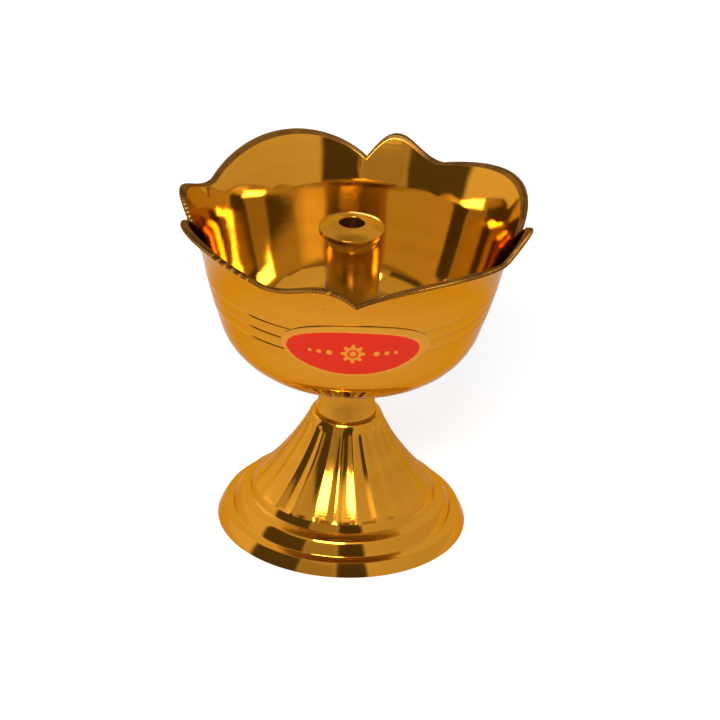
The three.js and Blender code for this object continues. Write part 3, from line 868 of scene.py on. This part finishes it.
# %% Turn the post
def post_outline():
    reach = FLANGE_RADIUS - POST_RADIUS
    taper = bend((POST_RADIUS, FLANGE_UNDER - FLANGE_TAPER),
                 (POST_RADIUS + reach / 3, FLANGE_UNDER - FLANGE_TAPER / 3),
                 (FLANGE_RADIUS - FLANGE_CHAMFER, FLANGE_UNDER), POST_STEPS)
    return [
        (0.0, SHANK_END),
        (SHANK_RADIUS - SHANK_CHAMFER, SHANK_END),
        (SHANK_RADIUS, SHANK_END + SHANK_CHAMFER),
        (SHANK_RADIUS, BOWL_FLOOR),
        (POST_RADIUS, BOWL_FLOOR),
        *taper,
        (FLANGE_RADIUS, FLANGE_UNDER + FLANGE_CHAMFER),
        (FLANGE_RADIUS, FLANGE_TOP),
        *bend(DOME_EDGE, DOME_CORNER, (WICK_BORE_RADIUS + BORE_CHAMFER, BORE_TOP), POST_STEPS),
        (WICK_BORE_RADIUS, BORE_TOP - BORE_CHAMFER),
        (WICK_BORE_RADIUS, BORE_BOTTOM),
        (0.0, BORE_BOTTOM - BORE_CONE),
    ]


def drill(target, bm_tool, name):
    """Cuts the tool out of the target with a Boolean, and returns the cut mesh."""
    tool = new_object(name, bm_tool)
    cut = target.modifiers.new(name, "BOOLEAN")
    cut.operation = "DIFFERENCE"
    cut.solver = "EXACT"
    cut.object = tool
    graph = bpy.context.evaluated_depsgraph_get()
    cut_mesh = bpy.data.meshes.new_from_object(target.evaluated_get(graph))
    target.modifiers.clear()
    bpy.data.objects.remove(tool)
    return cut_mesh


def turned_post():
    """The spun post with its oil hole drilled, as a bmesh."""
    outline = soften_corners(wire(post_outline(), closed=False), POST_CORNER)
    blank = new_object("blank", spin(outline, POST_COLUMNS))
    bit = bmesh.new()
    bmesh.ops.create_cone(bit, cap_ends=True, segments=48, radius1=OIL_HOLE_RADIUS * MM,
                          radius2=OIL_HOLE_RADIUS * MM, depth=OIL_HOLE_LENGTH * MM)
    across = Matrix.Translation((0, 0, OIL_HOLE_HEIGHT * MM)) @ Matrix.Rotation(math.pi / 2, 4, "Y")
    bmesh.ops.transform(bit, matrix=across, verts=bit.verts[:])
    drilled = drill(blank, bit, "oil_hole")
    bpy.data.objects.remove(blank)
    bm = bmesh.new()
    bm.from_mesh(drilled)
    return bm


def add_thread(bm, low, high):
    """A helical ridge round the shank between two heights, closed at both ends."""
    root = SHANK_RADIUS - THREAD_ROOT_SINK
    crest = SHANK_RADIUS + THREAD_HEIGHT
    section = [(root, low - THREAD_HALF_WIDTH), (crest, low), (root, low + THREAD_HALF_WIDTH)]
    verts = [bm.verts.new((0, -radius * MM, height * MM)) for radius, height in section]
    face = bm.faces.new(verts)
    turns = (high - low) / THREAD_PITCH
    steps = round(turns * THREAD_STEPS)
    bmesh.ops.spin(bm, geom=[face], cent=(0, 0, 0), axis=(0, 0, 1),
                   dvec=(0, 0, (high - low) / steps * MM), angle=turns * 2 * math.pi,
                   steps=steps, use_merge=False)


def shift_flange(bm):
    """Moves the flange and the bore a little to the left of the post's own axis."""
    for vert in bm.verts:
        angle, radius, height = polar(vert)
        share = min(max((height - FLANGE_UNDER + FLANGE_TAPER) / FLANGE_TAPER, 0), 1)
        if radius < WICK_BORE_RADIUS + TOUCH and height > BORE_BOTTOM - BORE_CONE - TOUCH:
            share = 1
        vert.co.x -= FLANGE_SHIFT * share * MM


post_mesh = turned_post()
add_thread(post_mesh, THREAD_START, THREAD_END)
bmesh.ops.recalc_face_normals(post_mesh, faces=post_mesh.faces[:])
shift_flange(post_mesh)
piece("wick_post", post_mesh, "wick_holder", "wick_holder", post_brass)

# %% [markdown]
# ## Washer and nut
#
# They sit in the dark of the hollow foot, where only someone who turns the lamp over sees them.
# Both are spun. A real nut is a six-sided bar whose corners a cone took off at both ends, and a
# prism could be cut by such a cone. Here it goes the other way round: a round blank is spun with
# its cones, and what stands outside the six flats is moved in to them, which leaves the same edges.

# %% Washer
WASHER_RADIUS = 5.0
WASHER_CORNER = 0.1
WASHER_COLUMNS = 96
washer_outline = [(HOLE_RADIUS, NUT_TOP), (WASHER_RADIUS, NUT_TOP),
                  (WASHER_RADIUS, CROWN_UNDERSIDE), (HOLE_RADIUS, CROWN_UNDERSIDE)]
washer_mesh = spin(soften_corners(wire(washer_outline), WASHER_CORNER), WASHER_COLUMNS)
piece("clamp_ring", washer_mesh, "lamp", "clamp_washer", dull_brass)

# %% Nut
NUT_ACROSS_FLATS = 8.0
NUT_FACE_SHARE = 0.97
NUT_CONE = math.radians(30)
NUT_CONE_STEPS = 4
NUT_BORE_CHAMFER = 0.3
NUT_COLUMNS = 96
HALF_A_SIDE = math.pi / 6


def flat_of_nut(angle):
    """Distance from the axis to the nut's side at an angle."""
    within = (angle + HALF_A_SIDE) % (2 * HALF_A_SIDE) - HALF_A_SIDE
    return NUT_ACROSS_FLATS / 2 / math.cos(within)


def nut_outline():
    """Bore and outside of a round blank with both chamfers, before the flats are cut."""
    corner = NUT_ACROSS_FLATS / 2 / math.cos(HALF_A_SIDE)
    face = NUT_ACROSS_FLATS / 2 * NUT_FACE_SHARE
    rise = (corner - face) * math.tan(NUT_CONE)
    steps = NUT_CONE_STEPS
    lower = [(face + (corner - face) * i / steps, NUT_BOTTOM + rise * i / steps) for i in range(steps + 1)]
    upper = [(radius, NUT_BOTTOM + NUT_TOP - height) for radius, height in reversed(lower)]
    mouth = HOLE_RADIUS + NUT_BORE_CHAMFER
    return [(mouth, NUT_BOTTOM), *lower, *upper, (mouth, NUT_TOP),
            (HOLE_RADIUS, NUT_TOP - NUT_BORE_CHAMFER), (HOLE_RADIUS, NUT_BOTTOM + NUT_BORE_CHAMFER)]


nut_mesh = spin(wire(nut_outline()), NUT_COLUMNS)
for vert in nut_mesh.verts:
    angle, radius, height = polar(vert)
    put(vert, angle, min(radius, flat_of_nut(angle)), height)
piece("hex_nut", nut_mesh, "lamp", "clamp_nut", dull_brass)

# %% [markdown]
# ## The sticker
#
# An oval of clear film with a red print inside a thin gold line, stuck over the score lines. A
# small rosette between two rows of dots is printed in its middle. A disc is inset towards its
# middle until it has enough rings to bend, laid on the wall by moving its vertices, and given
# its thickness last. The print is one pattern on the sticker's own coordinates, which run across
# and up it in millimetres.

# %% Sticker mesh
LABEL_LOW, LABEL_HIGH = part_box("label")
LABEL_HEIGHT = (LABEL_LOW.z + LABEL_HIGH.z) / 2 / MM
LABEL_UP = (LABEL_HIGH.z - LABEL_LOW.z) / MM
LABEL_WIDTH = 28.0
LABEL_ANGLE = math.radians(2.9)
LABEL_THICKNESS = 0.1
LABEL_GAP = 0.06
LABEL_RINGS = 14


def sticker_mesh():
    """A disc of rings, stretched to the oval and laid on the bowl's wall."""
    bm = bmesh.new()
    bmesh.ops.create_circle(bm, cap_ends=True, segments=128, radius=1.0)
    face = bm.faces[:]
    for ring in range(LABEL_RINGS - 1):
        bmesh.ops.inset_region(bm, faces=face, thickness=1 / LABEL_RINGS, use_boundary=True,
                               use_even_offset=True)
    bmesh.ops.poke(bm, faces=face)
    uv = bm.loops.layers.uv.new("print")
    for face in bm.faces:
        for loop in face.loops:
            loop[uv].uv = (loop.vert.co.x * LABEL_WIDTH / 2, loop.vert.co.y * LABEL_UP / 2)
    return bm


def lay_on_wall(bm, radius_of_centre):
    """Wraps the flat oval round the bowl."""
    for vert in bm.verts:
        angle = LABEL_ANGLE + vert.co.x * LABEL_WIDTH / 2 / radius_of_centre
        height = LABEL_HEIGHT + vert.co.y * LABEL_UP / 2
        put(vert, angle, wall_radius(height) + LABEL_GAP + LABEL_THICKNESS, height)


label_mesh = sticker_mesh()
lay_on_wall(label_mesh, wall_radius(LABEL_HEIGHT))
bmesh.ops.recalc_face_normals(label_mesh, faces=label_mesh.faces[:])
if sum(face.normal.y for face in label_mesh.faces) > 0:
    bmesh.ops.reverse_faces(label_mesh, faces=label_mesh.faces[:])
bmesh.ops.solidify(label_mesh, geom=label_mesh.faces[:], thickness=LABEL_THICKNESS * MM)
print(f"sticker: {len(label_mesh.faces)} faces, {LABEL_UP:.1f} mm up and down")

# %% [markdown]
# ### Print
#
# Distance does the drawing. A point lies inside an oval when its scaled distance from the middle
# is under 1, so one number gives the red field and the gold line round it, and the rosette and
# dots are distances too. Outside the line the film is clear, so the brass shows through it. A
# sheet that is really clear would need light to pass it twice, and here the film keeps the
# colour and the metal of the brass behind it instead, only cloudier and with a cut edge that
# grows darker towards its top.

# %% Sticker print sizes
RED = (0.700, 0.016, 0.002, 1.0)
RED_WORN = (0.670, 0.028, 0.005, 1.0)
GOLD_PRINT = (0.740, 0.260, 0.020, 1.0)
FILM_BRASS = (0.690, 0.310, 0.030, 1.0)
FILM_EDGE = (0.230, 0.090, 0.015, 1.0)
FIELD = {"middle": (-0.5, -0.45), "half": (12.45, 5.0)}
LINE_WIDTH = 0.3
DOTS = [(4.3, 0.55), (6.2, 0.45), (7.9, 0.36)]
ROSETTE_PETALS = 8
ROSETTE_WAVE = 0.42
ROSETTE_RADIUS = 1.85
RING_RADII = (1.0, 0.62)
INK_SOFT = 0.07
GRAIN_NOISE = (0.3, 0.7)
FIELD_WAVER = 0.012
FIELD_SOFT = 0.008
LINE_SOFT = 0.012
CUT_EDGE = 0.978
CUT_EDGE_SOFT = 0.01
EDGE_DARKENING_HEIGHTS = (1.0, 4.0)
EDGE_DARKENING = 0.3
FILM_ROUGHNESS = 0.2
INK_ROUGHNESS = 0.5
FILM_SHEEN = 0.12
FILM_RIPPLE = 25e-6
print("red field, mm:", [2 * half for half in FIELD["half"]])


# %% Sticker material
def oval(tree, x, y, half_x, half_y):
    """Scaled distance from the middle of an oval, 1 on its edge."""
    across = maths(tree, "DIVIDE", x, half_x)
    up = maths(tree, "DIVIDE", y, half_y)
    return maths(tree, "SQRT", maths(tree, "ADD", maths(tree, "MULTIPLY", across, across),
                                    maths(tree, "MULTIPLY", up, up)))


def under(tree, value, edge, soft):
    """1 where the value is under the edge, 0 above it, with a soft change."""
    return remap(tree, value, edge - soft, edge + soft, 1.0, 0.0, smooth=True)


def ornament(tree, x, y):
    """A rosette of eight petals round a dot, with a row of dots on each side."""
    out = oval(tree, x, y, 1.0, 1.0)
    turn = maths(tree, "MULTIPLY", maths(tree, "ARCTAN2", y, x), ROSETTE_PETALS)
    edge = maths(tree, "MULTIPLY_ADD", maths(tree, "COSINE", turn), ROSETTE_WAVE, ROSETTE_RADIUS)
    rosette = under(tree, maths(tree, "SUBTRACT", out, edge), 0, INK_SOFT)
    middle = flipped(tree, under(tree, out, RING_RADII[1], INK_SOFT))
    ring = maths(tree, "MULTIPLY", under(tree, out, RING_RADII[0], INK_SOFT), middle)
    printed = maths(tree, "SUBTRACT", rosette, ring)
    side = maths(tree, "ABSOLUTE", x)
    for place, size in DOTS:
        dot = under(tree, oval(tree, maths(tree, "SUBTRACT", side, place), y, 1.0, 1.0), size, INK_SOFT)
        printed = maths(tree, "MAXIMUM", printed, dot)
    return printed


def printed_film(name):
    material, tree, shader = new_material(name)
    uv = tree.nodes.new("ShaderNodeUVMap")
    uv.uv_map = "print"
    parts = tree.nodes.new("ShaderNodeSeparateXYZ")
    connect(tree, uv.outputs[0], parts.inputs[0])
    x = maths(tree, "SUBTRACT", parts.outputs["X"], FIELD["middle"][0])
    y = maths(tree, "SUBTRACT", parts.outputs["Y"], FIELD["middle"][1])
    grain = noise(tree, uv.outputs[0], scale=2.2, detail=3)
    rough_edge = remap(tree, grain, *GRAIN_NOISE, -FIELD_WAVER, FIELD_WAVER)
    out = maths(tree, "ADD", oval(tree, x, y, *FIELD["half"]), rough_edge)
    field = under(tree, out, 1.0, FIELD_SOFT)
    line = under(tree, out, 1.0 + LINE_WIDTH / FIELD["half"][1], LINE_SOFT)
    edge = oval(tree, parts.outputs["X"], parts.outputs["Y"], LABEL_WIDTH / 2, LABEL_UP / 2)

    red = mix_colour(tree, remap(tree, grain, *GRAIN_NOISE, 0.0, 1.0), RED, RED_WORN)
    red = mix_colour(tree, ornament(tree, x, y), red, GOLD_PRINT)
    cut = flipped(tree, under(tree, edge, CUT_EDGE, CUT_EDGE_SOFT))
    # the film's cut edge grows darker towards its top
    top_edge_darkening = remap(tree, parts.outputs["Y"], *EDGE_DARKENING_HEIGHTS, 0.0, EDGE_DARKENING, smooth=True)
    film = mix_colour(tree, maths(tree, "MULTIPLY", cut, top_edge_darkening), FILM_BRASS, FILM_EDGE)
    colour = mix_colour(tree, line, film, mix_colour(tree, field, GOLD_PRINT, red))
    connect(tree, colour, shader.inputs["Base Color"])
    connect(tree, flipped(tree, line), shader.inputs["Metallic"])
    connect(tree, remap(tree, line, 0, 1, FILM_ROUGHNESS, INK_ROUGHNESS), shader.inputs["Roughness"])
    ripples = noise(tree, uv.outputs[0], scale=0.9, detail=2)
    connect(tree, bump(tree, ripples, FILM_RIPPLE), shader.inputs["Normal"])
    shader.inputs["Specular IOR Level"].default_value = FILM_SHEEN
    return material


piece("oval_sticker", label_mesh, "lamp", "label", printed_film("printed_film"))

# %% [markdown]
# ## The table, the tent and the lamp
#
# A mirror shows its room, so the room is part of the finish. The photograph was taken in a white
# tent: the brass outside is bright because it sees the white table, and the dark bars on the foot
# and inside the bowl are the tent's opening, where the camera looks in. The world is that tent,
# drawn by direction, and one soft lamp hangs over the camera. The camera itself sees plain white.

# %% Table
TABLE_SIDE = 4.0
TABLE_FRONT = 0.26
TABLE_GLOW = 0.35


def floor_material():
    material, tree, shader = new_material("pale_table")
    shader.inputs["Base Color"].default_value = (0.9, 0.9, 0.9, 1.0)
    shader.inputs["Roughness"].default_value = 0.9
    shader.inputs["Specular IOR Level"].default_value = 0.0
    seen = tree.nodes.new("ShaderNodeLightPath").outputs["Is Camera Ray"]
    shader.inputs["Emission Color"].default_value = (1.0, 1.0, 1.0, 1.0)
    connect(tree, maths(tree, "MULTIPLY", seen, TABLE_GLOW), shader.inputs["Emission Strength"])
    return material


table_mesh = bmesh.new()
bmesh.ops.create_grid(table_mesh, x_segments=1, y_segments=1, size=TABLE_SIDE / 2)
bmesh.ops.translate(table_mesh, verts=table_mesh.verts[:], vec=(0, TABLE_SIDE / 2 - TABLE_FRONT, 0))
table_top = new_object("table_top", table_mesh)
table_top.data.materials.append(floor_material())

# %% Tent
SIDE_LIGHT = 0.87
LEFT_MORE = 0.14
TENT_PATCHES = [
    {"what": "ceiling", "azimuth": (-200, 200), "elevation": (60, 100), "light": 0.40, "soft": 7},
    {"what": "sheet on the left", "azimuth": (-138, -98), "elevation": (28, 50), "light": 1.35, "soft": 7},
    {"what": "over the opening", "azimuth": (-88, 30), "elevation": (33, 60), "light": 0.66, "soft": 4},
    {"what": "lit sheet", "azimuth": (-2, 28), "elevation": (40, 52), "light": 1.5, "soft": 5},
    {"what": "opening, left", "azimuth": (-84, -36), "elevation": (-16, 34), "light": 0.11, "soft": 3},
    {"what": "opening, middle", "azimuth": (-36, -3), "elevation": (-16, 32), "light": 0.48, "soft": 3},
    {"what": "opening, right", "azimuth": (-2, 26), "elevation": (-3, 37), "light": 0.09, "soft": 2},
]


def within(tree, value, limits, soft):
    """1 between the limits, 0 outside them, with soft edges, for a value in degrees."""
    low, high = limits
    rising = remap(tree, value, low - soft, low + soft, 0.0, 1.0, smooth=True)
    falling = remap(tree, value, high - soft, high + soft, 1.0, 0.0, smooth=True)
    return maths(tree, "MULTIPLY", rising, falling)


def build_tent():
    world = bpy.data.worlds.new("tent")
    bpy.context.scene.world = world
    world.use_nodes = True
    tree = world.node_tree
    background = tree.nodes["Background"]
    direction = tree.nodes.new("ShaderNodeTexCoord").outputs["Generated"]
    parts = tree.nodes.new("ShaderNodeSeparateXYZ")
    connect(tree, direction, parts.inputs[0])
    towards_front = maths(tree, "MULTIPLY", parts.outputs["Y"], -1.0)
    azimuth = maths(tree, "DEGREES", maths(tree, "ARCTAN2", parts.outputs["X"], towards_front))
    elevation = maths(tree, "DEGREES", maths(tree, "ARCSINE", parts.outputs["Z"]))
    light = maths(tree, "MULTIPLY_ADD", parts.outputs["X"], -LEFT_MORE, SIDE_LIGHT)
    for patch in TENT_PATCHES:
        inside = maths(tree, "MULTIPLY", within(tree, azimuth, patch["azimuth"], patch["soft"]),
                       within(tree, elevation, patch["elevation"], patch["soft"]))
        light = maths(tree, "ADD", maths(tree, "MULTIPLY", light, flipped(tree, inside)),
                      maths(tree, "MULTIPLY", inside, patch["light"]))
    seen = tree.nodes.new("ShaderNodeLightPath").outputs["Is Camera Ray"]
    kept = maths(tree, "MULTIPLY", light, flipped(tree, seen))
    connect(tree, maths(tree, "ADD", kept, seen), background.inputs["Strength"])
    background.inputs["Color"].default_value = (1.0, 1.0, 1.0, 1.0)


build_tent()

# %% Lamp
LAMP_AZIMUTH = math.radians(-13)
LAMP_ELEVATION = math.radians(41)
LAMP_DISTANCE = 0.9
LAMP_TARGET = Vector((0, 0, 0.04))
LAMP_WIDTH = 0.44
LAMP_HEIGHT = 0.19
LAMP_RADIANCE = 18


def aim(obj, place, target):
    """Puts a lamp or camera at a place, looking at a target."""
    obj.location = place
    obj.rotation_mode = "QUATERNION"
    obj.rotation_quaternion = (Vector(target) - Vector(place)).to_track_quat("-Z", "Y")


lamp_data = bpy.data.lights.new("soft_lamp", "AREA")
lamp_data.shape = "RECTANGLE"
lamp_data.size = LAMP_WIDTH
lamp_data.size_y = LAMP_HEIGHT
lamp_data.energy = LAMP_RADIANCE * math.pi * LAMP_WIDTH * LAMP_HEIGHT
lamp = bpy.data.objects.new("soft_lamp", lamp_data)
bpy.context.scene.collection.objects.link(lamp)
lamp.visible_camera = False
lamp_direction = Vector((math.sin(LAMP_AZIMUTH) * math.cos(LAMP_ELEVATION),
                         -math.cos(LAMP_AZIMUTH) * math.cos(LAMP_ELEVATION), math.sin(LAMP_ELEVATION)))
aim(lamp, LAMP_TARGET + lamp_direction * LAMP_DISTANCE, LAMP_TARGET)
print(f"lamp at {[round(v, 2) for v in lamp.location]} m")

# %% [markdown]
# ## The camera
#
# The photograph was taken from 29 degrees above the table with a long lens, a metre away, and
# held a little off level, which tips the lamp to the right. The lens length follows from the
# size of the lamp in the picture.

# %% Camera
CAMERA_ELEVATION = math.radians(28.8)
CAMERA_DISTANCE = 1.0
CAMERA_TARGET = Vector((2.16, 0.0, 33.29)) * MM
CAMERA_ROLL = math.radians(2.75)
LENS = 269.75

camera_data = bpy.data.cameras.new("camera")
camera_data.lens = LENS
camera = bpy.data.objects.new("camera", camera_data)
bpy.context.scene.collection.objects.link(camera)
back = Vector((0, -math.cos(CAMERA_ELEVATION), math.sin(CAMERA_ELEVATION)))
aim(camera, CAMERA_TARGET + back * CAMERA_DISTANCE, CAMERA_TARGET)
camera.rotation_quaternion = camera.rotation_quaternion @ Matrix.Rotation(CAMERA_ROLL, 3, "Z").to_quaternion()
bpy.context.scene.camera = camera
bpy.context.scene.view_settings.view_transform = "Standard"
print(f"camera {CAMERA_DISTANCE} m away, lens {LENS} mm")

# %% [markdown]
# ## The end

# The dressed lamp has to stay in the box of the plain one.

# %% Finish
bpy.context.view_layer.update()
